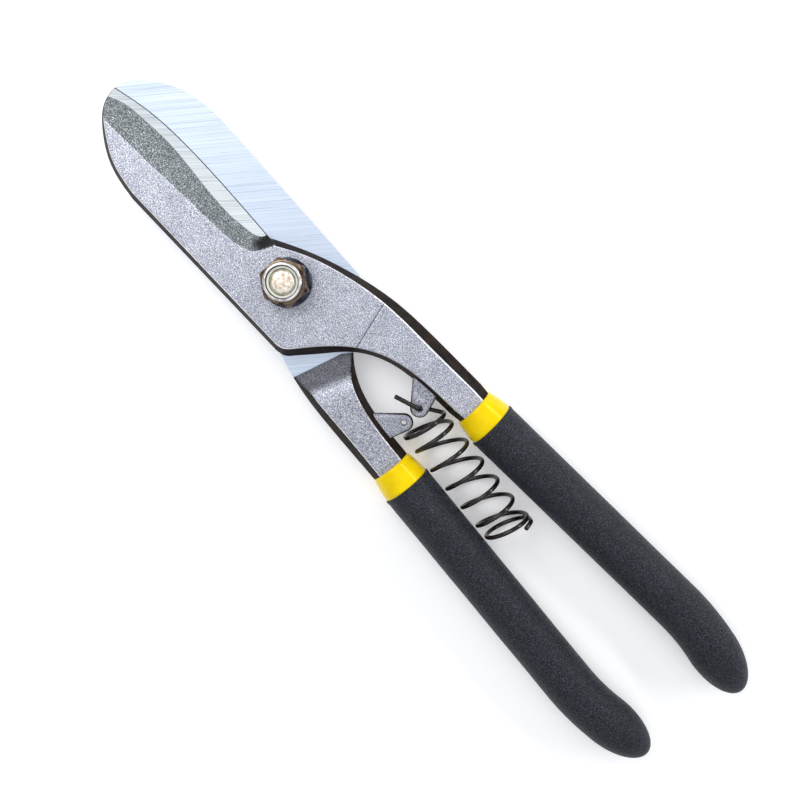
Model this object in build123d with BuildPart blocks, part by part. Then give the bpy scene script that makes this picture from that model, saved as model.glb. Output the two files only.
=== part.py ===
"""American-pattern tin snips lying on their back, closed, with a lock-nut pivot.

The origin is on the pivot axis, at the outer face of the bolt head, which rests on the
bench together with the two grips.  +X points to the blade tips and +Z along the pivot to
the nut.  Both blades are the same forging, one turned over.  Lengths are in millimetres.
"""
import os
from math import cos, radians, sin, tan

from build123d import *

os.makedirs("parts", exist_ok=True)

# ---- driving dimensions -------------------------------------------------------------------
plate = 4.4                  # blade thickness, from the shear face to the outer face
blade_gap = 0.1              # running gap between the two shear faces
face_gap = 0.05              # gap between the bolt head and the blade it bears on

grip_radius = 8.25           # outside of the black grip
sleeve_radius = 7.5          # outside of the yellow inner sleeve
grip_dome = 17.0             # length of the grip's rounded end
sleeve_dome = 16.0
handle_start = (-66.0, 15.75)    # a point on the grips' centre line, mirrored for the front
handle_spread = 3.4          # degrees that the straight part opens from the X axis
handle_bend = 12.4           # degrees that the end turns back in
bend_radius = 80.0
front_stations = {"sleeve": -65.9, "grip": -73.4, "bend": -155.1}
back_stations = {"sleeve": -62.3, "grip": -69.9, "bend": -151.3}

bolt_radius = 4.0            # M8
pivot_hole_radius = 4.05
bolt_end_chamfer = 0.75
hex_flats = 13.0             # across the flats of the nut and of the bolt head
hex_chamfer = 30.0           # degrees that their corners are turned off at
head_chamfer_inset = 0.4     # how far inside the flats the chamfer ends
nut_chamfer_inset = 0.3
hex_turn = 27.4              # a corner of the nut, in degrees from +X
washer_radius = 7.5
washer_hole_radius = 4.2
washer_thick = 1.6
washer_chamfer = 0.25
nut_hex_height = 6.2
nut_height = 8.0
collar_radius = 5.9          # round collar of the lock nut, which holds the insert
collar_mouth_radius = 4.6
collar_round = 0.7
insert_radius = 4.9
insert_height = 1.3
bolt_end_drop = 0.2          # the bolt ends this far below the top of the nut

lug_centre = (-54.9, -3.3)   # hole for the spring's hook
lug_hole_radius = 0.85
lug_tip_radius = 2.95
lug_thick = 3.0
lug_base = [(-45.3, -9.4), (-50.0, -11.0), (-55.4, -11.0)]

wire_radius = 0.7
coil_radius = 7.0            # to the middle of the wire
coil_start = (-60.2, -0.75, 7.8)  # on the coil's axis, at its near end, which starts on -Y
coil_end_y = 1.65            # the far end leans to the back grip
coil_stretches = [(0.75, 1.0), (5.25, 7.5), (1.0, 1.45)]   # turns and pitch of each stretch
hook = [(-46.9, -0.7, 13.0), (-54.9, -3.3, 11.0), (-54.9, -3.3, 4.9)]
hook_bend = 1.0
tail_rise = 3.2              # from the coil's far end, straight up
tail_tip = (-103.8, -2.8, 13.3)

# ---- levels -------------------------------------------------------------------------------
shear_height = grip_radius   # the shear plane is level with the middle of the grips
front_base = shear_height + blade_gap / 2
back_base = shear_height - blade_gap / 2
head_height = back_base - plate - face_gap
washer_base = front_base + plate
nut_base = washer_base + washer_thick
collar_base = nut_base + nut_hex_height
nut_top = nut_base + nut_height

# ---- forging outline ----------------------------------------------------------------------
# One half has its blade on +Y and its shank on -Y.  Each stretch of the outline is given
# where it meets the shear plane (wide) and where it meets the outer face (narrow, because
# the forging's sides have draft).
tip_wide = (77.9, -1.0)
tip_narrow = (76.2, 0.5)
nose_wide = [tip_wide, (77.0, 3.9), (71.2, 10.7), (62.4, 15.8), (50.7, 18.0)]
nose_narrow = [tip_narrow, (75.2, 4.0), (69.8, 9.9), (61.6, 14.3), (50.5, 16.4)]
spine_wide = [(50.7, 18.0), (18.0, 17.6), (-11.8, 17.2)]
spine_narrow = [(50.5, 16.4), (18.0, 16.0), (-11.2, 15.6)]
heel_wide = [(-11.8, 17.2), (-15.0, 16.3), (-17.0, 14.1)]
heel_narrow = [(-11.2, 15.6), (-13.4, 14.9), (-15.0, 13.3)]
crook_wide = [(-17.0, 14.1), (-21.9, 7.9), (-28.8, -0.3), (-38.6, -6.0), (-50.0, -8.3), (-62.0, -9.1)]
crook_narrow = [(-15.0, 13.3), (-20.3, 6.2), (-26.8, -0.9), (-37.0, -7.2), (-49.5, -10.2), (-61.8, -11.2)]
tang_wide = [(-62.0, -9.1), (-80.0, -11.9), (-156.0, -17.2), (-168.0, -16.6)]
tang_narrow = [(-61.8, -11.2), (-80.0, -13.4), (-156.0, -18.6), (-167.0, -18.2)]
tang_end_wide = [(-168.0, -16.6), (-170.0, -19.7), (-168.6, -22.9)]
tang_end_narrow = [(-167.0, -18.2), (-168.2, -19.8), (-167.4, -21.3)]
tang_back_wide = [(-168.6, -22.9), (-156.0, -24.2), (-80.0, -21.2), (-62.0, -22.2)]
tang_back_narrow = [(-167.4, -21.3), (-156.0, -22.6), (-80.0, -19.4), (-61.8, -19.4)]
shank_wide = [(-62.0, -22.2), (-42.6, -21.4), (-24.3, -19.6), (-10.0, -15.8), (2.5, -10.9), (14.0, -4.8)]
shank_narrow = [(-61.8, -19.4), (-42.0, -18.3), (-23.9, -17.1), (-8.7, -13.6), (2.0, -9.5), (10.4, -4.6)]
edge_wide = [(14.0, -4.8), (35.0, -5.35), (53.5, -5.1), (65.5, -3.9), tip_wide]
edge_narrow = [(10.4, -4.6), (35.0, -4.8), (53.5, -4.5), (65.0, -3.3), tip_narrow]

wide_level = [(nose_wide, Spline), (spine_wide, Polyline), (heel_wide, Spline), (crook_wide, Spline),
              (tang_wide, Polyline), (tang_end_wide, Spline), (tang_back_wide, Polyline),
              (shank_wide, Spline), (edge_wide, Spline)]
narrow_level = [(nose_narrow, Spline), (spine_narrow, Polyline), (heel_narrow, Spline), (crook_narrow, Spline),
                (tang_narrow, Polyline), (tang_end_narrow, Spline), (tang_back_narrow, Polyline),
                (shank_narrow, Spline), (edge_narrow, Spline)]

# The shear face is flat as far as the step line; past it the shank thickens to both sides.
step_line = [(-20.0, -22.5), (-26.3, -3.2), (-29.7, 1.5), (-29.7, 6.0)]
step_point = (-23.9, -9.8)
step_lip = 0.3
slope_run = 9.4
slope_angle = 200.0          # direction in which the shank thickens, in degrees from +X

# The blade's outer face falls to the cutting edge by a rough band and a ground bevel.
bevel_angle = 29.5
band_angle = 18.5
band_edge = [(17.8, 2.8), (72.0, 7.2)]       # where the band leaves the outer face
root_low = [(14.6, -9.0), (16.3, -3.4), (20.8, -0.2), (100.0, 8.0), (100.0, -9.0)]
root_high = [(9.2, -9.0), (12.4, -1.4), (16.8, 2.7), (100.0, 12.0), (100.0, -9.0)]
reach = 100.0                # beyond the blade, for the bodies that shape it
slope_reach = 30.0           # to each side of the step point, past the shank's edges
over = 1.0                   # how far a cutting body passes the face it cuts


def level_face(stretches, height):
    """One closed level of the forging."""
    with BuildSketch(Plane.XY.offset(height)) as level:
        with BuildLine():
            for points, curve in stretches:
                curve(*points)
        make_face()
    return level.sketch


def edge_face(height):
    """The side of the ground bevel that stays, at one height."""
    back_off = height / tan(radians(bevel_angle))
    points = [(x, y + back_off) for x, y in edge_wide]
    with BuildSketch(Plane.XY.offset(height)) as level:
        with BuildLine():
            Spline(*points)
            Polyline(points[-1], (reach, points[-1][1]), (reach, reach), (0, reach), (0, points[0][1]), points[0])
        make_face()
    return level.sketch


def band_face(height):
    """The side of the rough band that stays, at one height."""
    back_off = (height - plate) / tan(radians(band_angle))
    (x1, y1), (x2, y2) = band_edge
    rise = (y2 - y1) / (x2 - x1)
    left = (0, y1 - rise * x1 + back_off)
    right = (reach, y1 + rise * (reach - x1) + back_off)
    with BuildSketch(Plane.XY.offset(height)) as level:
        with BuildLine():
            Polyline(left, right, (reach, reach), (0, reach), left)
        make_face()
    return level.sketch


# ---- the forging --------------------------------------------------------------------------
with BuildPart() as blade_faces:
    add(edge_face(0))
    add(edge_face(plate + over))
    loft(ruled=True)

with BuildPart() as band_body:
    add(band_face(0))
    add(band_face(plate + over))
    loft(ruled=True)

with BuildPart() as blade_relief:
    for corners, height in ((root_low, 0), (root_high, plate)):
        with BuildSketch(Plane.XY.offset(height)):
            with BuildLine():
                Polyline(*corners, close=True)
            make_face()
    loft(ruled=True)
    with BuildSketch(Plane.XY.offset(plate)):
        with BuildLine():
            Polyline(*root_high, close=True)
        make_face()
    extrude(amount=over)
    add(blade_faces.part & band_body.part, mode=Mode.SUBTRACT)

slope_plane = Plane(
    origin=(step_point[0], step_point[1], 0),
    x_dir=(cos(radians(slope_angle)), sin(radians(slope_angle)), 0),
    z_dir=(sin(radians(slope_angle)), -cos(radians(slope_angle)), 0),
)

with BuildPart() as forging:
    add(level_face(wide_level, 0))
    add(level_face(narrow_level, plate))
    loft(ruled=True)
    mirror(about=Plane.XY)
    # the blade and the body exist only above the shear plane
    with BuildSketch(Plane.XY):
        with BuildLine():
            Polyline(*step_line, (step_line[-1][0], reach), (reach, reach), (reach, -reach),
                     (step_line[0][0], -reach), step_line[0])
        make_face()
    extrude(amount=-(plate + over), mode=Mode.SUBTRACT)
    with BuildSketch(slope_plane):
        with BuildLine():
            Polyline((-slope_run, -step_lip), (0, -step_lip), (slope_run, -plate), (slope_run, -plate - over),
                     (-slope_run, -plate - over), close=True)
        make_face()
    extrude(amount=slope_reach, both=True, mode=Mode.SUBTRACT)
    add(blade_relief.part, mode=Mode.SUBTRACT)
    # tab that carries the spring's hook and stops the closing stroke
    with BuildSketch(Plane.XY.offset(-lug_thick / 2)):
        with Locations(lug_centre):
            Circle(lug_tip_radius)
        with BuildLine():
            Polyline(*lug_base, close=True)
        make_face()
        make_hull()
    extrude(amount=lug_thick)
    with Locations(lug_centre):
        Hole(lug_hole_radius)
    Hole(pivot_hole_radius)

with BuildPart() as front_blade:
    add(forging.part.moved(Location((0, 0, front_base))))

with BuildPart() as back_blade:
    add(forging.part.moved(Location((0, 0, back_base), (180, 0, 0))))


# ---- pivot --------------------------------------------------------------------------------
def hexagon(base, height, outer_level, inset):
    """A hexagonal prism from base, its corners turned off at the outer level."""
    inner_radius = hex_flats / 2 - inset
    inward = 1 if outer_level == base else -1
    drop = inward * (hex_flats - inner_radius) * tan(radians(hex_chamfer))
    with BuildPart() as prism:
        with BuildSketch(Plane.XY.offset(base)):
            RegularPolygon(hex_flats / 2, 6, major_radius=False, rotation=hex_turn)
        extrude(amount=height)
        with BuildSketch(Plane.XZ):
            with BuildLine():
                Polyline((inner_radius, outer_level), (hex_flats, outer_level), (hex_flats, outer_level + drop),
                         close=True)
            make_face()
        revolve(axis=Axis.Z, mode=Mode.SUBTRACT)
    return prism.part


bolt_head = hexagon(0, head_height, 0, head_chamfer_inset)
nut_hexagon = hexagon(nut_base, nut_hex_height, collar_base, nut_chamfer_inset)

with BuildPart() as pivot_bolt:
    add(bolt_head)
    with BuildSketch(Plane.XY.offset(head_height)):
        Circle(bolt_radius)
    extrude(amount=nut_top - bolt_end_drop - head_height)
    chamfer(pivot_bolt.edges().group_by(Axis.Z)[-1], bolt_end_chamfer)

with BuildPart() as nut_washer:
    with BuildSketch(Plane.XY.offset(washer_base)):
        Circle(washer_radius)
        Circle(washer_hole_radius, mode=Mode.SUBTRACT)
    extrude(amount=washer_thick)
    chamfer(nut_washer.edges().group_by(Axis.Z)[-1].sort_by(SortBy.RADIUS)[-1], washer_chamfer)

with BuildPart() as lock_nut:
    add(nut_hexagon)
    with BuildSketch(Plane.XY.offset(collar_base)):
        Circle(collar_radius)
    extrude(amount=nut_top - collar_base)
    fillet(lock_nut.edges().group_by(Axis.Z)[-1], collar_round)
    with BuildSketch(Plane.XY.offset(nut_base)):
        Circle(bolt_radius)
    extrude(amount=nut_height, mode=Mode.SUBTRACT)
    with BuildSketch(Plane.XY.offset(collar_base)):
        Circle(insert_radius)
    extrude(amount=insert_height, mode=Mode.SUBTRACT)
    with BuildSketch(Plane.XY.offset(collar_base + insert_height)):
        Circle(collar_mouth_radius)
    extrude(amount=nut_height, mode=Mode.SUBTRACT)

with BuildPart() as lock_nut_insert:
    with BuildSketch(Plane.XY.offset(collar_base)):
        Circle(insert_radius)
        Circle(bolt_radius, mode=Mode.SUBTRACT)
    extrude(amount=insert_height)


# ---- handles ------------------------------------------------------------------------------
def handle_body(side, start_x, bend_x, radius, dome):
    """A round bar along one grip's centre line, from start_x to its domed end."""
    slope = tan(radians(handle_spread))

    def centre(x):
        return (x, side * (handle_start[1] + (handle_start[0] - x) * slope), shear_height)

    with BuildPart() as body:
        with BuildLine() as route:
            straight = Line(centre(start_x), centre(bend_x))
            bend = JernArc(straight @ 1, straight % 1, bend_radius, side * handle_bend)
        with BuildSketch(Plane(origin=straight @ 0, z_dir=straight % 0)):
            Circle(radius)
        sweep(path=route.line)
        end = bend @ 1
        along = bend % 1
        with BuildSketch(Plane(origin=end, x_dir=along, z_dir=(0, 0, 1))):
            with BuildLine():
                EllipticalCenterArc((0, 0), dome, radius, start_angle=0, arc_size=90)
                Polyline((0, radius), (0, 0), (dome, 0))
            make_face()
        revolve(axis=Axis(end, along))
    return body.part


def handle_skins(side, stations, blade):
    """The inner sleeve round one tang and the grip over it."""
    sleeve_body = handle_body(side, stations["sleeve"], stations["bend"], sleeve_radius, sleeve_dome)
    grip_body = handle_body(side, stations["grip"], stations["bend"], grip_radius, grip_dome)
    return sleeve_body - blade, grip_body - sleeve_body


front_skins = handle_skins(-1, front_stations, front_blade.part)
back_skins = handle_skins(1, back_stations, back_blade.part)

with BuildPart() as front_inner_sleeve:
    add(front_skins[0])

with BuildPart() as front_grip:
    add(front_skins[1])

with BuildPart() as back_inner_sleeve:
    add(back_skins[0])

with BuildPart() as back_grip:
    add(back_skins[1])

# ---- spring -------------------------------------------------------------------------------
# The coil runs towards the handle ends; it is made upright and then laid on its own plane.
coil_length = sum(turns * pitch for turns, pitch in coil_stretches)
coil_lean = (coil_end_y - coil_start[1]) / coil_length
coil_plane = Plane(origin=coil_start, x_dir=(-coil_lean, -1, 0), z_dir=(-1, coil_lean, 0))

def coil_stretch(turns, pitch):
    """Part of the coil, from z = 0, with its first end on +X."""
    with BuildPart() as stretch:
        with BuildLine() as run:
            Helix(pitch, turns * pitch, coil_radius)
        with BuildSketch(Plane(origin=run.line @ 0, z_dir=run.line % 0)):
            Circle(wire_radius)
        sweep(path=run.line)
        with Locations(run.line @ 0, run.line @ 1):
            Sphere(wire_radius)
    return stretch.part


coil_solids = []
height = 0
phase = 0
for turns, pitch in coil_stretches:
    coil_solids.append(coil_stretch(turns, pitch).moved(Location((0, 0, height), (0, 0, phase))))
    height += turns * pitch
    phase += 360 * turns

with BuildPart() as coil:
    add(coil_solids)

coil_mouth = coil_plane.from_local_coords((coil_radius, 0, 0))
hook_foot = (coil_mouth.X, coil_mouth.Y, hook[-1][2])
coil_far_end = coil_plane.from_local_coords((coil_radius, 0, coil_length))
tail_bend = coil_far_end + Vector(0, 0, tail_rise)

with BuildPart() as return_spring:
    add(coil_plane.location * coil.part)
    # the wire's straight tip, its way through the lug hole and its run below the lug to the coil
    with BuildLine() as hook_line:
        FilletPolyline(*hook, hook_foot, coil_mouth, radius=hook_bend)
    with BuildSketch(Plane(origin=hook_line.line @ 0, z_dir=hook_line.line % 0)):
        Circle(wire_radius)
    sweep(path=hook_line.line)
    # the short bent tail at the far end
    with BuildLine() as tail_line:
        FilletPolyline(coil_far_end, tail_bend, tail_tip, radius=hook_bend)
    with BuildSketch(Plane(origin=tail_line.line @ 0, z_dir=tail_line.line % 0)):
        Circle(wire_radius)
    sweep(path=tail_line.line)

# ---- finished pieces ----------------------------------------------------------------------
front_blade.part.label = "front_blade"
export_step(front_blade.part, "parts/front_blade.step")

back_blade.part.label = "back_blade"
export_step(back_blade.part, "parts/back_blade.step")

pivot_bolt.part.label = "pivot_bolt"
export_step(pivot_bolt.part, "parts/pivot_bolt.step")

nut_washer.part.label = "nut_washer"
export_step(nut_washer.part, "parts/nut_washer.step")

lock_nut.part.label = "lock_nut"
export_step(lock_nut.part, "parts/lock_nut.step")

lock_nut_insert.part.label = "lock_nut_insert"
export_step(lock_nut_insert.part, "parts/lock_nut_insert.step")

front_inner_sleeve.part.label = "front_inner_sleeve"
export_step(front_inner_sleeve.part, "parts/front_inner_sleeve.step")

back_inner_sleeve.part.label = "back_inner_sleeve"
export_step(back_inner_sleeve.part, "parts/back_inner_sleeve.step")

front_grip.part.label = "front_grip"
export_step(front_grip.part, "parts/front_grip.step")

back_grip.part.label = "back_grip"
export_step(back_grip.part, "parts/back_grip.step")

return_spring.part.label = "return_spring"
export_step(return_spring.part, "parts/return_spring.step")
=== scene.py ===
"""American-pattern tin snips on a pale table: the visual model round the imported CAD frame.

Shapes are written in millimetres in the row frame (origin on the pivot axis at the bolt
head's outer face, +X to the blade tips, +Z to the nut) and scaled to metres as meshes.
"""
from math import cos, pi, radians, sin, sqrt, tan

import bpy
import numpy as np
from mathutils import Matrix, Vector
from mathutils.geometry import delaunay_2d_cdt


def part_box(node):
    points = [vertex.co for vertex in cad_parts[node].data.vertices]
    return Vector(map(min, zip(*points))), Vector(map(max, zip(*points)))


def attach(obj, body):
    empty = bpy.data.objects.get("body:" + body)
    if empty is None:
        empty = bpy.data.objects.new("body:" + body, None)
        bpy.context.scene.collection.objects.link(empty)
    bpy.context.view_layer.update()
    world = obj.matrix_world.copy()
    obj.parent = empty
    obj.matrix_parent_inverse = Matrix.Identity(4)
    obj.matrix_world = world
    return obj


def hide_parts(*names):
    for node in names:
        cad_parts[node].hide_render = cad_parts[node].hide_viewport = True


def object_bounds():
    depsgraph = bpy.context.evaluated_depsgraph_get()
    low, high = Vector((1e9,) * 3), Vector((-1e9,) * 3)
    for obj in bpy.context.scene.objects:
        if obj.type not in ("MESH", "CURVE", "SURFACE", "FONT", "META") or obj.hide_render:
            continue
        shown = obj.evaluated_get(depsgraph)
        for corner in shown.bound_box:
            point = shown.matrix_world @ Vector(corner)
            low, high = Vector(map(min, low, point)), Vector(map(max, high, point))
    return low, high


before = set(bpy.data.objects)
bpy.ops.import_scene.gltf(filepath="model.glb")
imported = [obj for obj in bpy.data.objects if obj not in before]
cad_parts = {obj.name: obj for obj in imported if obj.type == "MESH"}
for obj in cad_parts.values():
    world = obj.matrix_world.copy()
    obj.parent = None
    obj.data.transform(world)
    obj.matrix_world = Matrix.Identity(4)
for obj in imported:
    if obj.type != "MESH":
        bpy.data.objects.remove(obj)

CAD_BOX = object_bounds()
MM = 0.001


def node_box(node):
    """A CAD node's lowest and highest corners, in millimetres."""
    low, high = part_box(node)
    return np.array(low) / MM, np.array(high) / MM


# ---- camera ----
camera_data = bpy.data.cameras.new("camera")
camera_data.lens = 38.0
camera_data.sensor_width = 36.0
camera_data.clip_start = 0.01
camera = bpy.data.objects.new("camera", camera_data)
bpy.context.scene.collection.objects.link(camera)
camera_right = Vector((-0.67561, -0.73612, -0.04110))
camera_up = Vector((0.73490, -0.66793, -0.11742))
camera_back = camera_right.cross(camera_up)
camera_turn = Matrix((camera_right, camera_up, camera_back)).transposed().to_4x4()
camera.matrix_world = Matrix.Translation((-0.03362, -0.02903, 0.26625)) @ camera_turn
bpy.context.scene.camera = camera

# ---- levels, from the frame ----
front_low, front_high = node_box("front_blade")
back_low, back_high = node_box("back_blade")
washer_low, washer_high = node_box("nut_washer")
nut_low, nut_high = node_box("lock_nut")
insert_low, insert_high = node_box("lock_nut_insert")
bolt_low, bolt_high = node_box("pivot_bolt")
front_grip_low, front_grip_high = node_box("front_grip")
back_grip_high = node_box("back_grip")[1]
front_sleeve_high = node_box("front_inner_sleeve")[1]
back_sleeve_high = node_box("back_inner_sleeve")[1]

# a forging reaches one plate's thickness to each side of its shear face's level, the base
PLATE = (front_high[2] - front_low[2]) / 2
FRONT_BASE = (front_high[2] + front_low[2]) / 2
BACK_BASE = (back_high[2] + back_low[2]) / 2
GRIP_RADIUS = (front_grip_high[2] - front_grip_low[2]) / 2
GRIP_LEVEL = (front_grip_high[2] + front_grip_low[2]) / 2

# ---- forging outline ----
# each stretch is drawn twice: wide at the shear face, and narrow at the outer face
TIP_WIDE = (77.9, -1.0)
TIP_NARROW = (75.5, 0.6)
NOSE = ([TIP_WIDE, (77.0, 3.9), (71.2, 10.7), (62.4, 15.8), (50.7, 18.0)],
        [TIP_NARROW, (74.4, 4.1), (69.1, 9.3), (61.2, 13.8), (50.5, 15.95)])
SPINE = ([(50.7, 18.0), (18.0, 17.6), (-11.8, 17.2)],
         [(50.5, 15.95), (18.0, 15.6), (-11.0, 15.2)])
HEEL = ([(-11.8, 17.2), (-15.0, 16.3), (-17.0, 14.1)],
        [(-11.0, 15.2), (-13.2, 14.5), (-14.7, 13.1)])
CROOK = ([(-17.0, 14.1), (-21.9, 7.9), (-28.8, -0.3), (-38.6, -6.0), (-50.0, -8.3), (-62.0, -9.1)],
         [(-14.7, 13.1), (-20.1, 6.1), (-26.8, -0.9), (-37.0, -7.2), (-49.5, -10.2), (-61.8, -11.2)])
TANG = ([(-62.0, -9.1), (-80.0, -11.9), (-156.0, -17.2), (-168.0, -16.6)],
        [(-61.8, -11.2), (-80.0, -13.4), (-156.0, -18.6), (-167.0, -18.2)])
TANG_END = ([(-168.0, -16.6), (-170.0, -19.7), (-168.6, -22.9)],
            [(-167.0, -18.2), (-168.2, -19.8), (-167.4, -21.3)])
TANG_BACK = ([(-168.6, -22.9), (-156.0, -24.2), (-80.0, -21.2), (-62.0, -22.2)],
             [(-167.4, -21.3), (-156.0, -22.6), (-80.0, -19.4), (-61.8, -19.4)])
SHANK = ([(-62.0, -22.2), (-42.6, -21.4), (-24.3, -19.6), (-10.0, -15.8), (2.5, -10.9), (14.0, -4.8)],
         [(-61.8, -19.4), (-42.0, -18.3), (-23.9, -17.1), (-8.7, -13.6), (2.0, -9.5), (10.4, -4.6)])
EDGE = ([(14.0, -4.8), (35.0, -5.35), (53.5, -5.1), (65.5, -3.9), TIP_WIDE],
        [(10.4, -4.6), (35.0, -4.8), (53.5, -4.5), (65.0, -3.3), TIP_NARROW])
STRETCHES = [(NOSE, True), (SPINE, False), (HEEL, True), (CROOK, True), (TANG, False),
             (TANG_END, True), (TANG_BACK, False), (SHANK, True), (EDGE, True)]

STEP_LINE = [(-20.0, -24.5), (-26.3, -3.2), (-29.7, 1.5), (-29.7, 20.0)]
STEP_POINT = (-23.9, -9.8)
STEP_LIP = 0.3
SLOPE_RUN = 9.4
SLOPE_ANGLE = radians(200.0)
STEP_ROUND = 1.2
# the ground bevel's upper edge, and the line where the outer face ends at the blade
RIDGE = [(15.2, -5.3), (15.6, -3.7), (17.6, -2.2), (20.6, -1.6), (26.0, -0.9), (32.0, -0.8), (42.7, -1.4),
         (55.6, -1.9), (66.0, -1.0), (71.3, -0.2), (77.6, 2.6)]
TOP_LINE = [(9.9, -9.0), (10.5, -5.2), (11.9, -1.8), (13.9, 1.2), (17.6, 3.1), (21.9, 3.9), (33.4, 4.8),
            (53.2, 6.2), (72.0, 7.3), (80.0, 7.7)]
# width of the cutting edge's land, painted dark as shade
EDGE_LAND = 0.26
BEVEL_SLOPE = tan(radians(28.0))
ROOT_SLOPE = 1.19            # of the scoop's wall at the blade's root
ROOT_END = 24.0              # the scoop's rounding grows from here to the root
RIDGE_ROUND = 0.12
CREASE = [(-23.7, -18.5), (-28.5, -1.0)]

LUG_CENTRE = (-54.9, -3.3)
LUG_HOLE = 0.85
LUG_TIP = 2.95
LUG_HALF = 1.5
LUG_RIM = 0.42
LUG_ROUND = 0.9              # how far in from its outline the tab's edge is rounded
LUG_COLLAR = 0.35            # width of the sunk ring round the tab's hole
LUG_SINK = 0.3
LUG_FOOT = (-45.3, -9.4)
LUG_BACK = (-50.0, -11.0)
LUG_HEEL = (-55.4, -11.0)
PIVOT_HOLE = 4.05
FAR_BELOW = -5.0
# the light, smoother strip round the outer face that paints its edge highlight, as parts of the way up the
# drafted side
HIGHLIGHT_FROM = 0.93
HIGHLIGHT_TO = 1.07
EDGE_ROUND = 0.55            # rounding where the drafted side meets the outer face
GROOVE_DEPTH = 0.14
GROOVE_WIDTH = 0.13
TAB_BLEND = 0.25
TAB_SHADE = 0.26
SHANK_SHADE = 0.2
RELIEF_FROM = 8.0            # nothing is ground behind this X
NOSE_FROM = 40.0

# gaps between the forging mesh's points
OUTLINE_GAP = 0.9
EDGE_GAP = 0.8
LINE_GAP = 0.6
SEEN_GAP = 0.85
HIDDEN_GAP = 2.4             # on the tang, inside the grips
SEEN_FROM = -68.0


# ---- plane curves ----
def curve_through(points, step, smooth):
    """Points about a step apart along a cubic spline, or along straight runs, through the given ones."""
    points = np.array(points, float)
    lengths = np.linalg.norm(np.diff(points, axis=0), axis=1)
    stations = np.concatenate(([0.0], np.cumsum(lengths)))
    count = max(2, int(round(stations[-1] / step)))
    wanted = np.linspace(0.0, stations[-1], count + 1)
    if not smooth:
        wanted = np.unique(np.concatenate((wanted, stations)))
        return np.stack([np.interp(wanted, stations, points[:, k]) for k in (0, 1)], axis=1)
    # natural cubic spline: solve for the second derivatives at the given points
    size = len(points)
    system = np.eye(size)
    change = np.zeros((size, 2))
    for k in range(1, size - 1):
        system[k, k - 1] = lengths[k - 1]
        system[k, k] = 2 * (lengths[k - 1] + lengths[k])
        system[k, k + 1] = lengths[k]
        slope_after = (points[k + 1] - points[k]) / lengths[k]
        slope_before = (points[k] - points[k - 1]) / lengths[k - 1]
        change[k] = 6 * (slope_after - slope_before)
    bend = np.linalg.solve(system, change)
    span = np.clip(np.searchsorted(stations, wanted, side="right") - 1, 0, size - 2)
    h = lengths[span][:, None]
    a = (stations[span + 1] - wanted)[:, None] / h
    b = 1 - a
    return (a * points[span] + b * points[span + 1]
            + ((a ** 3 - a) * bend[span] + (b ** 3 - b) * bend[span + 1]) * h ** 2 / 6)


def resample(line, count):
    """The line again, as count + 1 evenly spaced points."""
    lengths = np.linalg.norm(np.diff(line, axis=0), axis=1)
    stations = np.concatenate(([0.0], np.cumsum(lengths)))
    wanted = np.linspace(0.0, stations[-1], count + 1)
    return np.stack([np.interp(wanted, stations, line[:, k]) for k in (0, 1)], axis=1)


def closed_pair(step):
    """The wide and the narrow outline as closed loops whose points correspond."""
    wide = []
    narrow = []
    for (outer, inner), smooth in STRETCHES:
        outer_line = curve_through(outer, 0.25, smooth)
        inner_line = curve_through(inner, 0.25, smooth)
        length = np.linalg.norm(np.diff(outer_line, axis=0), axis=1).sum()
        count = max(3, int(round(length / step)))
        wide.append(resample(outer_line, count)[:-1])
        narrow.append(resample(inner_line, count)[:-1])
    return np.concatenate(wide), np.concatenate(narrow)


def distance_to(points, line, closed=False):
    """Distance from each point to a line of straight runs."""
    line = np.asarray(line, float)
    ends = np.roll(line, -1, axis=0) if closed else line[1:]
    starts = line if closed else line[:-1]
    along = ends - starts
    square = (along ** 2).sum(1)
    nearest = np.full(len(points), 1e9)
    for first in range(0, len(points), 4000):
        part = points[first:first + 4000, None, :] - starts[None]
        t = np.clip((part * along[None]).sum(2) / square[None], 0, 1)
        gap = part - t[..., None] * along[None]
        nearest[first:first + 4000] = np.sqrt((gap ** 2).sum(2)).min(1)
    return nearest


def is_inside(points, loop):
    """Whether each point is inside a closed loop."""
    x, y = points[:, 0], points[:, 1]
    result = np.zeros(len(points), bool)
    previous = loop[-1]
    for current in loop:
        crosses = (current[1] > y) != (previous[1] > y)
        if current[1] != previous[1]:
            at = (previous[0] - current[0]) * (y - current[1]) / (previous[1] - current[1]) + current[0]
            result ^= crosses & (x < at)
        previous = current
    return result


def signed_distance(points, loop):
    """Distance to a closed loop, negative outside it."""
    gap = distance_to(points, loop, closed=True)
    return np.where(is_inside(points, loop), gap, -gap)


def side_of(points, line):
    """Positive where a point is to the right of a line that runs upwards from its first point."""
    line = np.asarray(line, float)
    gap = distance_to(points, line)
    far = np.array([[line[0][0], -200.0], [300.0, -200.0], [300.0, line[-1][1]]])
    return np.where(is_inside(points, np.concatenate((line, far[::-1]))), gap, -gap)


def smooth_min(a, b, radius):
    """The lower of two heights, rounded where they cross."""
    blend = np.clip(0.5 + 0.5 * (b - a) / radius, 0, 1)
    return b * (1 - blend) + a * blend - radius * blend * (1 - blend)


def smooth_max(a, b, radius):
    """The higher of two heights, rounded where they cross."""
    return -smooth_min(-a, -b, radius)


def hull_of(points):
    """Convex hull of plane points, anticlockwise."""
    points = sorted(map(tuple, points))

    def chain(ordered):
        kept = []
        for p in ordered:
            while len(kept) > 1 and ((kept[-1][0] - kept[-2][0]) * (p[1] - kept[-2][1])
                                     - (kept[-1][1] - kept[-2][1]) * (p[0] - kept[-2][0])) <= 0:
                kept.pop()
            kept.append(p)
        return kept[:-1]
    return np.array(chain(points) + chain(points[::-1]))


def circle(centre, radius, count):
    """A closed ring of points."""
    turns = np.arange(count) * 2 * pi / count
    return np.stack((centre[0] + radius * np.cos(turns), centre[1] + radius * np.sin(turns)), axis=1)


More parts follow.
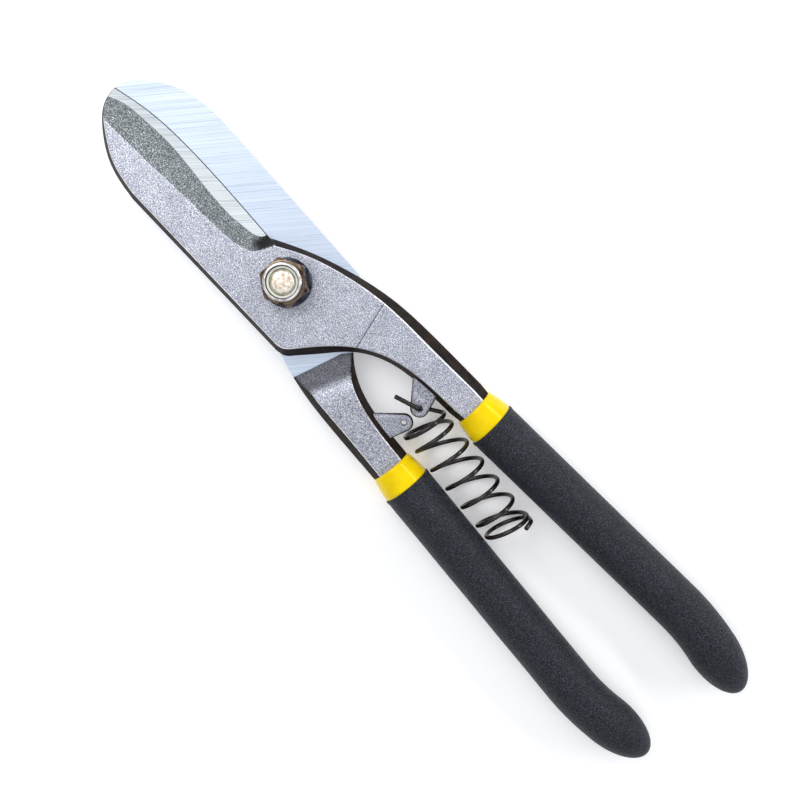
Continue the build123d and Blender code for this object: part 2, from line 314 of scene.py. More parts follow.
# ---- materials ----
def new_material(name):
    """A material with its nodes, their links and its shader."""
    material = bpy.data.materials.new(name)
    material.use_nodes = True
    nodes = material.node_tree.nodes
    return material, nodes, material.node_tree.links, nodes["Principled BSDF"]


def grid_mapping(nodes, links, scale, turn=0.0):
    """The piece's own coordinates, turned about Z and then scaled."""
    coordinates = nodes.new("ShaderNodeTexCoord")
    turned = nodes.new("ShaderNodeMapping")
    turned.inputs["Rotation"].default_value = (0, 0, -turn)
    scaled = nodes.new("ShaderNodeMapping")
    scaled.inputs["Scale"].default_value = scale
    links.new(coordinates.outputs["Object"], turned.inputs["Vector"])
    links.new(turned.outputs["Vector"], scaled.inputs["Vector"])
    return scaled.outputs["Vector"]


def noise(nodes, links, vector, scale, detail=3.0, roughness=0.6):
    """A noise texture's value."""
    texture = nodes.new("ShaderNodeTexNoise")
    texture.inputs["Scale"].default_value = scale
    texture.inputs["Detail"].default_value = detail
    texture.inputs["Roughness"].default_value = roughness
    links.new(vector, texture.inputs["Vector"])
    return texture.outputs["Fac"]


def ramp(nodes, links, value, stops):
    """A colour ramp through the stops (place, colour)."""
    node = nodes.new("ShaderNodeValToRGB")
    elements = node.color_ramp.elements
    while len(elements) < len(stops):
        elements.new(0.5)
    for element, (place, colour) in zip(elements, stops):
        element.position = place
        element.color = (*colour, 1)
    links.new(value, node.inputs["Fac"])
    return node.outputs["Color"]


def span(nodes, links, value, low, high, start=0.3, end=0.7):
    """A value spread from start..end to low..high."""
    node = nodes.new("ShaderNodeMapRange")
    node.inputs["From Min"].default_value = start
    node.inputs["From Max"].default_value = end
    node.inputs["To Min"].default_value = low
    node.inputs["To Max"].default_value = high
    links.new(value, node.inputs["Value"])
    return node.outputs["Result"]


def mix_colour(nodes, links, factor, first, second, blend="MIX"):
    """Two colours mixed by a factor; each is a socket or a plain colour."""
    node = nodes.new("ShaderNodeMix")
    node.data_type = "RGBA"
    node.blend_type = blend
    for key, value in (("Factor", factor), ("A", first), ("B", second)):
        sockets = [s for s in node.inputs if s.name == key and s.enabled]
        target = sockets[0]
        if isinstance(value, bpy.types.NodeSocket):
            links.new(value, target)
        elif key == "Factor":
            target.default_value = value
        else:
            target.default_value = (*value, 1)
    return [s for s in node.outputs if s.enabled][0]


def bump(nodes, links, value, distance, strength):
    """A bump of that height in metres."""
    node = nodes.new("ShaderNodeBump")
    node.inputs["Distance"].default_value = distance
    node.inputs["Strength"].default_value = strength
    links.new(value, node.inputs["Height"])
    return node.outputs["Normal"]


def blasted_steel(name, dark, middle, light, metallic, rough, shadow):
    """Shot-blasted forging: fine speckle over a slow variation, with painted shade multiplied in by the
    mesh's shade value.
    """
    material, nodes, links, shader = new_material(name)
    vector = grid_mapping(nodes, links, (1, 1, 1))
    grain = noise(nodes, links, vector, 2900, 1.0, 0.7)
    patches = noise(nodes, links, vector, 160, 4.0, 0.6)
    speckle = ramp(nodes, links, grain, [(0.33, dark), (0.46, middle), (0.54, middle), (0.67, light)])
    tinted = mix_colour(nodes, links, span(nodes, links, patches, 0.0, 0.30), speckle, dark)
    shade = nodes.new("ShaderNodeAttribute")
    shade.attribute_name = "shade"
    shaded = mix_colour(nodes, links, shade.outputs["Fac"], tinted, shadow, "MULTIPLY")
    links.new(shaded, shader.inputs["Base Color"])
    shader.inputs["Metallic"].default_value = metallic
    links.new(span(nodes, links, grain, rough + 0.08, rough - 0.08), shader.inputs["Roughness"])
    pits = noise(nodes, links, vector, 1500, 3.0, 0.65)
    links.new(bump(nodes, links, pits, 0.00006, 0.8), shader.inputs["Normal"])
    return material


def ground_steel(name, turn, dark, light, metallic, rough, across):
    """Ground steel: fine parallel lines along one direction, about across of them to the metre."""
    material, nodes, links, shader = new_material(name)
    vector = grid_mapping(nodes, links, (18.0, across, 18.0), turn)
    lines = noise(nodes, links, vector, 1.0, 4.0, 0.75)
    wide_vector = grid_mapping(nodes, links, (12.0, across / 2.5, 12.0), turn)
    wide_lines = noise(nodes, links, wide_vector, 1.0, 2.0, 0.5)
    colour = ramp(nodes, links, lines, [(0.36, dark), (0.50, light), (0.62, light)])
    shaded = mix_colour(nodes, links, span(nodes, links, wide_lines, 0.0, 0.35), colour, dark)
    links.new(shaded, shader.inputs["Base Color"])
    shader.inputs["Metallic"].default_value = metallic
    links.new(span(nodes, links, lines, rough + 0.1, rough - 0.05), shader.inputs["Roughness"])
    links.new(bump(nodes, links, lines, 0.00003, 0.6), shader.inputs["Normal"])
    return material


def dark_side_steel():
    """The forging's drafted sides: dark brown, painted shade and dark reflection."""
    material, nodes, links, shader = new_material("side_painted_shade")
    vector = grid_mapping(nodes, links, (1, 1, 1))
    stain = noise(nodes, links, vector, 300, 4.0, 0.6)
    grain = noise(nodes, links, vector, 1600, 2.0, 0.6)
    colour = ramp(nodes, links, stain, [(0.3, (0.005, 0.0035, 0.0028)), (0.7, (0.028, 0.0175, 0.0125))])
    links.new(colour, shader.inputs["Base Color"])
    shader.inputs["Specular IOR Level"].default_value = 0.08
    links.new(span(nodes, links, grain, 0.42, 0.62), shader.inputs["Roughness"])
    links.new(bump(nodes, links, grain, 0.00004, 0.6), shader.inputs["Normal"])
    return material


FACE_STEEL = blasted_steel("blasted_face", (0.14, 0.145, 0.18), (0.47, 0.49, 0.59), (1.0, 1.0, 1.0),
                           0.5, 0.46, (0.17, 0.17, 0.18))
BAND_STEEL = blasted_steel("blasted_band", (0.05, 0.058, 0.060), (0.17, 0.19, 0.198), (0.60, 0.65, 0.67),
                           0.5, 0.52, (0.05, 0.045, 0.035))
LINE_TURN = radians(52.0)
BEVEL_STEEL = ground_steel("ground_bevel", LINE_TURN, (0.36, 0.39, 0.40), (0.67, 0.72, 0.75),
                           0.4, 0.45, 4200.0)
SHEAR_STEEL = ground_steel("ground_shear_face", LINE_TURN, (0.40, 0.47, 0.57), (0.63, 0.71, 0.84),
                           0.4, 0.45, 3600.0)
# painted highlight: a light, smoother strip along the forging's edges
HIGHLIGHT_STEEL = ground_steel("edge_painted_highlight", LINE_TURN, (0.60, 0.60, 0.62), (0.92, 0.92, 0.95), 0.8, 0.30, 1500.0)
# painted shade: the drafted sides, the cutting edge's land, the crease, the tab's rim and the holes' walls
# take this dark colour
SIDE_STEEL = dark_side_steel()
FORGING_MATERIALS = [FACE_STEEL, BAND_STEEL, BEVEL_STEEL, SHEAR_STEEL, HIGHLIGHT_STEEL, SIDE_STEEL]
FACE, BAND, BEVEL, SHEAR, EDGE_HIGHLIGHT, SIDE = range(len(FORGING_MATERIALS))


def vinyl(name, dark, light, rough):
    """Glossy dipped vinyl with faint flow marks."""
    material, nodes, links, shader = new_material(name)
    vector = grid_mapping(nodes, links, (1, 1, 1))
    cloud = noise(nodes, links, vector, 220, 3.0, 0.5)
    flow = noise(nodes, links, vector, 900, 2.0, 0.5)
    links.new(ramp(nodes, links, cloud, [(0.3, dark), (0.7, light)]), shader.inputs["Base Color"])
    links.new(span(nodes, links, flow, rough, rough + 0.12), shader.inputs["Roughness"])
    shader.inputs["Specular IOR Level"].default_value = 0.5
    shader.inputs["Specular Tint"].default_value = (1.0, 0.88, 0.25, 1)
    links.new(bump(nodes, links, cloud, 0.00004, 0.5), shader.inputs["Normal"])
    return material


def grip_vinyl():
    """Fine-grained black grip, a little blue."""
    material, nodes, links, shader = new_material("grip_black")
    vector = grid_mapping(nodes, links, (1, 1, 1))
    grain = noise(nodes, links, vector, 3300, 1.0, 0.65)
    cloud = noise(nodes, links, vector, 90, 3.0, 0.5)
    speckle = ramp(nodes, links, grain, [(0.40, (0.005, 0.006, 0.008)), (0.53, (0.018, 0.0205, 0.028)),
                                         (0.66, (0.064, 0.072, 0.092))])
    shaded = mix_colour(nodes, links, span(nodes, links, cloud, 0.0, 0.25), speckle, (0.008, 0.009, 0.012))
    links.new(shaded, shader.inputs["Base Color"])
    links.new(span(nodes, links, grain, 0.62, 0.48), shader.inputs["Roughness"])
    shader.inputs["Specular IOR Level"].default_value = 0.25
    links.new(bump(nodes, links, grain, 0.00012, 0.7), shader.inputs["Normal"])
    return material


def plated(name, dark, light, rough, patch_scale=350.0, metallic=1.0):
    """Plated metal with a slow stain and fine handling marks."""
    material, nodes, links, shader = new_material(name)
    vector = grid_mapping(nodes, links, (1, 1, 1))
    stain = noise(nodes, links, vector, patch_scale, 4.0, 0.6)
    marks = noise(nodes, links, vector, 2600, 2.0, 0.6)
    links.new(ramp(nodes, links, stain, [(0.38, dark), (0.55, light)]), shader.inputs["Base Color"])
    shader.inputs["Metallic"].default_value = metallic
    links.new(span(nodes, links, marks, rough, rough + 0.15), shader.inputs["Roughness"])
    links.new(bump(nodes, links, marks, 0.00001, 0.5), shader.inputs["Normal"])
    return material


YELLOW = vinyl("sleeve_yellow", (0.80, 0.55, 0.0005), (0.94, 0.68, 0.001), 0.16)
BLACK_GRIP = grip_vinyl()
# painted reflection: the nut's hexagon sides are dark warm brown
NUT_SIDE_REFLECTION_METAL = plated("nut_side_zinc_painted_reflection", (0.05, 0.034, 0.023), (0.21, 0.155, 0.105), 0.18, 330.0)
COLLAR_METAL = plated("nut_collar_zinc", (0.50, 0.44, 0.42), (0.93, 0.90, 0.90), 0.14, 420.0)
BOLT_METAL = plated("bolt_end_zinc", (0.58, 0.40, 0.29), (0.93, 0.89, 0.78), 0.30, 900.0)
THREAD_METAL = plated("bolt_side_zinc", (0.42, 0.40, 0.30), (0.66, 0.64, 0.52), 0.35, 600.0, 0.3)
# the washer's dark navy; also painted shade in the nut's mouth
WASHER_AND_MOUTH_SHADE_METAL = plated("washer_dark_navy_and_mouth_shade", (0.012, 0.013, 0.022), (0.055, 0.06, 0.085), 0.20, metallic=0.9)
NYLON = plated("insert_nylon_cream", (0.60, 0.62, 0.52), (0.74, 0.76, 0.66), 0.35, metallic=0.0)
WIRE_METAL = plated("spring_wire_dark", (0.004, 0.0026, 0.0022), (0.016, 0.010, 0.009), 0.10, metallic=0.1)


# ---- pieces ----
def add_piece(name, vertices, faces, materials, node, body, zones=None, crease=40.0, shade=None):
    """A mesh piece in place of one CAD node, in millimetres."""
    mesh = bpy.data.meshes.new(name)
    mesh.from_pydata([tuple(c * MM for c in v) for v in vertices], [], faces)
    for material in materials:
        mesh.materials.append(material)
    if zones is not None:
        mesh.polygons.foreach_set("material_index", zones)
    if shade is not None:
        mesh.attributes.new("shade", "FLOAT", "POINT").data.foreach_set("value", shade)
    mesh.validate()
    mesh.update()
    mesh.shade_smooth()
    mesh.set_sharp_from_angle(angle=radians(crease))
    piece = bpy.data.objects.new(name, mesh)
    bpy.context.scene.collection.objects.link(piece)
    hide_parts(node)
    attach(piece, body)


def lug_outline():
    """The tab's plan outline: a hull of its round tip and its foot on the shank."""
    return hull_of(list(circle(LUG_CENTRE, LUG_TIP, 48)) + [LUG_FOOT, LUG_BACK, LUG_HEEL])


def forging_mesh():
    """Vertices, faces, zones and shade of one forging, blade on +Y, shear face at z = 0."""
    wide, narrow = closed_pair(OUTLINE_GAP)
    lug = lug_outline()
    pivot_ring = circle((0, 0), PIVOT_HOLE, 48)
    hole_ring = circle(LUG_CENTRE, LUG_HOLE, 20)

    points = []
    edges = []

    def add_line(line, closed):
        start = len(points)
        points.extend(map(tuple, line))
        edges.extend((start + k, start + k + 1) for k in range(len(line) - 1))
        if closed:
            edges.append((start + len(line) - 1, start))

    add_line(wide, True)
    tab_part = LUG_HALF / PLATE
    for part in (0.15, tab_part, 0.55, 0.80, HIGHLIGHT_FROM, 1.0, HIGHLIGHT_TO, 1.22, 1.5):
        ring = wide + part * (narrow - wide)
        if part in (tab_part, HIGHLIGHT_FROM, HIGHLIGHT_TO):
            add_line(ring, True)
        else:
            keep = ring[distance_to(ring, wide, closed=True) > 0.1]
            points.extend(map(tuple, keep))
    lug_line = resample(np.concatenate((lug, lug[:1])), 90)[:-1]
    add_line(lug_line, True)
    middle = np.array(LUG_CENTRE)
    from_middle = np.linalg.norm(lug_line - middle, axis=1)[:, None]
    rim_loop = middle + (lug_line - middle) * (1 - LUG_RIM / from_middle)
    for inset in (0.12, LUG_RIM, 0.55, 0.8, 1.1):
        shrunk = middle + (lug_line - middle) * (1 - inset / from_middle)
        if inset == LUG_RIM:
            add_line(shrunk, True)
        else:
            points.extend(map(tuple, shrunk))
    add_line(pivot_ring, True)
    add_line(hole_ring, True)
    for margin in (0.15, LUG_COLLAR):
        points.extend(map(tuple, circle(LUG_CENTRE, LUG_HOLE + margin, 20)))

    # the lines where the outer face changes slope, the step below and the crease on the shank
    edge_line = curve_through(EDGE[0], EDGE_GAP, True)
    ridge_line = curve_through(RIDGE, LINE_GAP, True)
    top_line = curve_through(TOP_LINE, LINE_GAP, True)
    add_line(ridge_line, False)
    add_line(top_line, False)
    add_line(edge_line[1:-1] + np.array([0.0, EDGE_LAND]), False)
    for shift in (-0.06, 0.06):
        add_line(curve_through(STEP_LINE, LINE_GAP, False) + np.array([shift, 0.0]), False)
    for shift in (-0.30, -0.11, 0.0, 0.11, 0.30):
        add_line(curve_through(CREASE, 0.5, False) + np.array([shift, 0.0]), False)
    for inset in (0.8, 1.6, 2.4, 3.2):
        root = top_line[top_line[:, 0] < 20] + np.array([inset, -0.35 * inset])
        points.extend(map(tuple, root))

    def blade_lines(x):
        """The edge's, the ridge's and the face end's Y at x, run on straight past the blade's root."""
        edge_y = np.interp(x, edge_line[:, 0], edge_line[:, 1])
        ridge_y = np.interp(x, *zip((0.0, -1.0), *RIDGE[3:]))
        face_y = np.interp(x, *zip((0.0, 1.6), *TOP_LINE[4:]))
        return edge_y, ridge_y, face_y

    def relief_height(at):
        edge_y, ridge_y, face_y = blade_lines(at[:, 0])
        ridge_z = (ridge_y - edge_y) * BEVEL_SLOPE
        bevel = (at[:, 1] - edge_y) * BEVEL_SLOPE
        band = ridge_z + (at[:, 1] - ridge_y) * (PLATE - ridge_z) / (face_y - ridge_y)
        ground = np.where(at[:, 1] < ridge_y, bevel, band)
        wall = PLATE - ROOT_SLOPE * side_of(at, top_line)
        rounding = 0.05 + 1.3 * np.clip((ROOT_END - at[:, 0]) / 8.0, 0, 1)
        return smooth_max(ground, wall, rounding)

    # the line round the nose where its drafted side meets the ground faces
    nose_count = int(np.argmin(np.linalg.norm(wide - np.array(SPINE[0][0]), axis=1))) + 1
    parts = np.linspace(0.01, 1.0, 100)
    nose_meet = []
    for outer, inner in zip(wide[:nose_count], narrow[:nose_count]):
        across = outer + parts[:, None] * (inner - outer)
        above = PLATE * parts > relief_height(across)
        nose_meet.append(across[np.argmax(above) if above.any() else -1])
    nose_meet = np.array(nose_meet)
    add_line(nose_meet, False)

    # an even spread of points between the lines, wider where the grips hide the tang
    random = np.random.default_rng(7)
    for x0, x1, gap in ((SEEN_FROM, 79.0, SEEN_GAP), (-171.0, SEEN_FROM, HIDDEN_GAP)):
        gx, gy = np.meshgrid(np.arange(x0, x1, gap), np.arange(-25.0, 19.0, gap))
        spread = np.stack((gx.ravel(), gy.ravel()), axis=1)
        spread = spread + random.uniform(-0.2, 0.2, spread.shape) * gap
        points.extend(map(tuple, spread))

    corners, _, triangles, *_ = delaunay_2d_cdt([Vector(p) for p in points], edges, [], 0, 1e-4)
    flat = np.array([tuple(c) for c in corners])
    triangles = np.array([t for t in triangles if len(t) == 3])
    middles = flat[triangles].mean(axis=1)
    in_body = is_inside(middles, wide)
    keep = in_body | is_inside(middles, lug)
    keep &= ~is_inside(middles, pivot_ring) & ~is_inside(middles, hole_ring)
    triangles = triangles[keep]
    middles = middles[keep]
    in_body = in_body[keep]

    # heights of the forging and of the tab
    def side_height(at):
        outer = signed_distance(at, wide)
        gap = np.maximum(outer - signed_distance(at, narrow), 0.3)
        return PLATE * outer / gap

    def tab_height(at):
        inset = signed_distance(at, lug)
        from_outline = np.clip(inset / LUG_ROUND, 0, 1)
        round_edge = LUG_HALF * np.sqrt(np.clip(1 - (1 - from_outline) ** 2, 0, 1))
        from_hole = np.clip((np.linalg.norm(at - middle, axis=1) - LUG_HOLE) / LUG_COLLAR, 0, 1)
        round_edge = np.minimum(round_edge, LUG_HALF - LUG_SINK * (1 - from_hole) ** 2)
        return np.where(inset >= -1e-3, round_edge, FAR_BELOW)

    def top_height(at):
        body = smooth_min(side_height(at), np.full(len(at), PLATE), EDGE_ROUND)
        body = smooth_min(body, relief_height(at), RIDGE_ROUND)
        from_crease = distance_to(at, CREASE) / GROOVE_WIDTH
        groove = GROOVE_DEPTH * np.exp(-from_crease ** 2)
        return smooth_max(body, tab_height(at), TAB_BLEND) - groove

    def slope_run(at):
        return (at - np.array(STEP_POINT)) @ np.array([cos(SLOPE_ANGLE), sin(SLOPE_ANGLE)])

    def ramp_depth(at):
        return STEP_LIP + (PLATE - STEP_LIP) * np.clip(slope_run(at) / SLOPE_RUN, 0, 2)

    def below_depth(at):
        body = smooth_min(side_height(at), np.full(len(at), PLATE), EDGE_ROUND)
        depth = smooth_min(body, ramp_depth(at), STEP_ROUND)
        past_step = side_of(at, STEP_LINE) < 0
        depth = np.where(past_step | (at[:, 0] < STEP_LINE[-1][0]), np.maximum(depth, 0.0), 0.0)
        return smooth_max(depth, tab_height(at), TAB_BLEND)

    top = np.maximum(top_height(flat), 0.0)
    bottom = -np.maximum(below_depth(flat), 0.0)

    # the outline belongs to both sides; holes get walls between the sides
    counts = {}
    for t in triangles:
        for a, b in ((t[0], t[1]), (t[1], t[2]), (t[2], t[0])):
            counts[(a, b)] = counts.get((a, b), 0) + 1
    rim_edges = [(a, b) for a, b in counts if (b, a) not in counts]
    near_hole = (np.abs(np.linalg.norm(flat, axis=1) - PIVOT_HOLE) < 0.1) | (
        np.abs(np.linalg.norm(flat - middle, axis=1) - LUG_HOLE) < 0.05)
    outline = {a for a, b in rim_edges if not near_hole[a]} | {b for a, b in rim_edges if not near_hole[b]}
    used = np.unique(triangles)
    upper = {}
    lower = {}
    vertices = []
    for k in used:
        upper[k] = len(vertices)
        if k in outline:
            vertices.append((flat[k, 0], flat[k, 1], 0.0))
            lower[k] = upper[k]
        else:
            vertices.append((flat[k, 0], flat[k, 1], top[k]))
            lower[k] = len(vertices)
            vertices.append((flat[k, 0], flat[k, 1], bottom[k]))

    # zones by where the middle of each face lies
    slant = side_height(middles)
    relief = relief_height(middles)
    tab = tab_height(middles)
    on_blade = middles[:, 0] > RIDGE[0][0]
    above_edge = middles[:, 1] - blade_lines(middles[:, 0])[0]
    in_relief = (side_of(middles, top_line) > 0) & (middles[:, 0] > RELIEF_FROM)
    top_zone = np.full(len(middles), FACE)
    top_zone[in_relief] = BAND
    top_zone[(side_of(middles, ridge_line) > 0) & on_blade] = BEVEL
    # a narrow land along the cutting edge, dark with the sides' painted shade
    top_zone[(above_edge < EDGE_LAND) & on_blade] = SIDE
    bare = in_body & (tab < slant)
    past_meet = is_inside(middles, np.concatenate((wide[:nose_count], nose_meet[::-1])))
    drafted = np.where(in_relief & (middles[:, 0] > NOSE_FROM), past_meet, slant < relief)
    # painted highlight on the strip round the outer face
    top_zone[bare & (slant < HIGHLIGHT_TO * PLATE) & drafted] = EDGE_HIGHLIGHT
    # painted shade and dark reflection on the drafted side
    top_zone[bare & (slant < HIGHLIGHT_FROM * PLATE) & drafted] = SIDE
    # painted shade: a dark line along the crease's groove
    top_zone[(distance_to(middles, CREASE) < 0.1) & (top_zone == FACE)] = SIDE
    # painted shade: a dark rim round the tab
    top_zone[(tab > slant) & ~is_inside(middles, rim_loop)] = SIDE

    past = side_of(middles, STEP_LINE) < 0
    depth = ramp_depth(middles)
    bottom_zone = np.where(past, FACE, SHEAR)
    # painted highlight on the strip round the outer face past the step
    bottom_zone[bare & past & (slant < HIGHLIGHT_TO * PLATE) & (slant < depth)] = EDGE_HIGHLIGHT
    # painted shade and dark reflection on the drafted side past the step
    bottom_zone[bare & past & (slant < HIGHLIGHT_FROM * PLATE) & (slant < depth)] = SIDE
    # painted shade: a dark rim round the tab
    bottom_zone[(tab > slant) & ~is_inside(middles, rim_loop)] = SIDE

    # painted shade: darker in the scoop at the blade's root, on the slope past the step, on the tab and under
    # the shank
    def eased_step(value):
        value = np.clip(value, 0, 1)
        return value * value * (3 - 2 * value)

    flat_x, flat_y = flat[:, 0], flat[:, 1]
    in_scoop = side_of(flat, top_line) > 0.01
    scoop = eased_step((1.8 - flat_y) / 3.4) * eased_step((18.0 - flat_x) / 3.2) * in_scoop
    slope_shade = eased_step((9.6 - slope_run(flat)) / 3.6) * (side_of(flat, STEP_LINE) < 0.01)
    on_tab = TAB_SHADE * eased_step((tab_height(flat) - side_height(flat) + 0.2) / 0.4)
    under_shank = SHANK_SHADE * eased_step((-33.0 - flat_x) / 8.0)
    shade = np.zeros(len(vertices))
    for k in used:
        if k not in outline:
            shade[upper[k]] = max(scoop[k], on_tab[k])
            shade[lower[k]] = max(slope_shade[k], on_tab[k], under_shank[k])

    faces = []
    zones = []
    for t, above, below in zip(triangles, top_zone, bottom_zone):
        faces.append((upper[t[0]], upper[t[1]], upper[t[2]]))
        faces.append((lower[t[0]], lower[t[2]], lower[t[1]]))
        zones.extend((int(above), int(below)))
    # the holes' walls take the sides' painted shade
    for a, b in rim_edges:
        if a in outline or b in outline:
            continue
        faces.append((upper[b], upper[a], lower[a], lower[b]))
        zones.append(SIDE)
    return np.array(vertices), faces, zones, shade


forging_vertices, forging_faces, forging_zones, forging_shade = forging_mesh()


def forging_piece(name, node, body, base, turned):
    """One half's forging; the back one is the same forging turned over about X."""
    placed = forging_vertices.copy()
    if turned:
        placed[:, 1] *= -1
        placed[:, 2] *= -1
    placed[:, 2] += base
    add_piece(name, placed, forging_faces, FORGING_MATERIALS, node, body,
              forging_zones, crease=28.0, shade=forging_shade)


forging_piece("front_forging", "front_blade", "front_half", FRONT_BASE, False)
forging_piece("back_forging", "back_blade", "back_half", BACK_BASE, True)


# ---- turned pieces ----
def lathe(profile, count=96):
    """Vertices and faces of a closed profile (radius, height) turned about Z."""
    vertices = []
    faces = []
    rows = len(profile)
    for k in range(count):
        turn = 2 * pi * k / count
        vertices.extend((r * cos(turn), r * sin(turn), z) for r, z in profile)
    for k in range(count):
        following = (k + 1) % count
        for row in range(rows):
            below = (row + 1) % rows
            faces.append((k * rows + row, k * rows + below, following * rows + below, following * rows + row))
    return vertices, faces


def arc_points(centre, radius, start, end, count=6):
    """Points (radius, height) along an arc, angles in degrees."""
    turns = [radians(start + (end - start) * k / count) for k in range(count + 1)]
    return [(centre[0] + radius * cos(t), centre[1] + radius * sin(t)) for t in turns]


def hexagon_radius(turn, flats, corner):
    """Distance from the axis to a hexagon's side in one direction, no further than the corner."""
    sector = pi / 3
    offset = (turn - HEX_TURN + sector / 2) % sector - sector / 2
    from_flat = sector / 2 - abs(offset)
    return min(flats / 2 / cos(from_flat), corner)


HEX_TURN = radians(27.4)
HEX_FLATS = 13.0
HEX_PLAY = 0.04              # keeps the visual hexagon just inside the CAD one


def hex_body(levels, count=240):
    """Vertices and faces of a hexagonal body, from levels (height, largest radius, round radius or None)."""
    vertices = []
    faces = []
    rows = len(levels)
    for k in range(count):
        turn = 2 * pi * k / count
        for z, limit, fixed in levels:
            radius = fixed if fixed is not None else hexagon_radius(turn, HEX_FLATS - HEX_PLAY, limit)
            vertices.append((radius * cos(turn), radius * sin(turn), z))
    for k in range(count):
        following = (k + 1) % count
        for row in range(rows):
            below = (row + 1) % rows
            faces.append((k * rows + row, following * rows + row, following * rows + below, k * rows + below))
    return vertices, faces


BORE = 4.02
NUT_BASE = nut_low[2]
NUT_TOP = nut_high[2]
HEX_TOP = insert_low[2]
COLLAR = 5.9
MOUTH = 4.6
CORNER = 7.42

WASHER_ROUND = 0.4
washer_radius = (washer_high[0] - washer_low[0]) / 2
washer_profile = [(4.2, washer_low[2] + 0.05), (washer_radius - 0.15, washer_low[2] + 0.05),
                  (washer_radius, washer_low[2] + 0.2)]
washer_corner = (washer_radius - WASHER_ROUND, washer_high[2] - WASHER_ROUND)
washer_profile += arc_points(washer_corner, WASHER_ROUND, 0, 90)
washer_profile += [(4.3, washer_high[2])]
washer_vertices, washer_faces = lathe(washer_profile)
add_piece("washer_ring", washer_vertices, washer_faces, [WASHER_AND_MOUTH_SHADE_METAL], "nut_washer",
          "front_half")

# the hexagon is chamfered down to the collar, and the collar's lip is rolled over the insert
LIP_ROUND = 0.75
MOUTH_ROUND = 0.3
INSERT_SEAT = 4.88
nut_levels = [(NUT_BASE + 0.03, 6.5, 4.1), (NUT_BASE + 0.03, 6.9, None), (NUT_BASE + 0.35, CORNER, None)]
chamfer_drop = [(-1.0, CORNER), (-0.72, 7.25), (-0.45, 6.95), (-0.2, 6.6), (-0.05, 6.35)]
nut_levels += [(HEX_TOP + drop, limit, None) for drop, limit in chamfer_drop]
nut_levels += [(HEX_TOP, 6.2, 6.05), (HEX_TOP + 0.12, 5.9, 5.92)]
lip = arc_points((COLLAR - LIP_ROUND, NUT_TOP - LIP_ROUND), LIP_ROUND, 0, 90, 8)
nut_levels += [(z, r, r) for r, z in lip]
inner_lip = arc_points((MOUTH + 0.33, NUT_TOP - MOUTH_ROUND), MOUTH_ROUND, 90, 180, 5)
nut_levels += [(z, r, r) for r, z in inner_lip]
insert_top = insert_high[2] + 0.02
nut_levels += [(insert_top, MOUTH, MOUTH), (insert_top, INSERT_SEAT, INSERT_SEAT),
               (insert_low[2], INSERT_SEAT, INSERT_SEAT), (insert_low[2], 4.1, 4.1)]
nut_vertices, nut_faces = hex_body(nut_levels)
NUT_SIDE, NUT_LIP, NUT_MOUTH_SHADE = range(3)
nut_zones = []
for face in nut_faces:
    centre = np.mean([nut_vertices[k] for k in face], axis=0)
    off_axis = np.hypot(centre[0], centre[1])
    zone = NUT_LIP if centre[2] > HEX_TOP and off_axis < COLLAR - 0.25 else NUT_SIDE
    # painted shade: the mouth inside the rolled lip takes the washer's dark colour
    if off_axis < MOUTH + 0.33 and centre[2] > insert_high[2] - 0.1:
        zone = NUT_MOUTH_SHADE
    nut_zones.append(zone)
add_piece("nut_body", nut_vertices, nut_faces, [NUT_SIDE_REFLECTION_METAL, COLLAR_METAL, WASHER_AND_MOUTH_SHADE_METAL], "lock_nut",
          "front_half", nut_zones, crease=30)

INSERT_RADIUS = 4.86
insert_profile = [(BORE, insert_low[2] + 0.02), (INSERT_RADIUS, insert_low[2] + 0.02),
                  (INSERT_RADIUS, insert_high[2]), (4.2, insert_high[2]), (BORE, insert_high[2] - 0.15)]
insert_vertices, insert_faces = lathe(insert_profile)
add_piece("nut_nylon_ring", insert_vertices, insert_faces, [NYLON], "lock_nut_insert",
          "front_half")

# the bolt: low hexagonal head, plain shank and a domed, chamfered end
BOLT_SHANK = 3.98
AXIS = 0.02                  # radius of the tiny hole that closes a turned end
bolt_base = bolt_low[2]
bolt_top = bolt_high[2]
head_top = back_low[2] - 0.05
bolt_levels = [(bolt_base, AXIS, AXIS), (bolt_base, 5.6, 5.6), (bolt_base, 6.1, 6.1),
               (bolt_base + 0.15, 6.5, None), (bolt_base + 0.5, 7.0, None), (bolt_base + 0.9, CORNER, None),
               (head_top - 0.25, CORNER, None), (head_top, 7.2, None), (head_top, 4.0, BOLT_SHANK)]
bolt_end = [(1.15, BOLT_SHANK), (1.05, 3.93), (0.35, 3.42), (0.2, 3.25), (0.1, 3.0), (0.04, 2.3), (0.0, AXIS)]
bolt_levels += [(bolt_top - drop, radius, radius) for drop, radius in bolt_end]
bolt_vertices, bolt_faces = hex_body(bolt_levels, 120)
# zone 0 is the head, 1 the shank and the end's chamfer, 2 the end
bolt_zones = []
for face in bolt_faces:
    level = np.mean([bolt_vertices[k][2] for k in face])
    bolt_zones.append(int(level > head_top + 0.01) + int(level > bolt_top - 0.3))
add_piece("bolt_body", bolt_vertices, bolt_faces, [COLLAR_METAL, THREAD_METAL, BOLT_METAL], "pivot_bolt",
          "front_half", bolt_zones, crease=30)

# ---- handles ----
SPREAD = radians(3.4)
BEND = radians(12.4)
BEND_RADIUS = 80.0
HANDLE_START = (-66.0, 15.75)
GRIP_STRAIGHT = 81.4
GRIP_DOME = 17.0
GRIP_WALL = 0.08             # the visual grip is this much inside the CAD one
GRIP_MOUTH = 7.3
SLEEVE_FRONT = 6.72
SLEEVE_REAR = 7.78
SLEEVE_INSIDE = 7.0
SLEEVE_DOME = 15.0
SLEEVE_LIP = 7.5


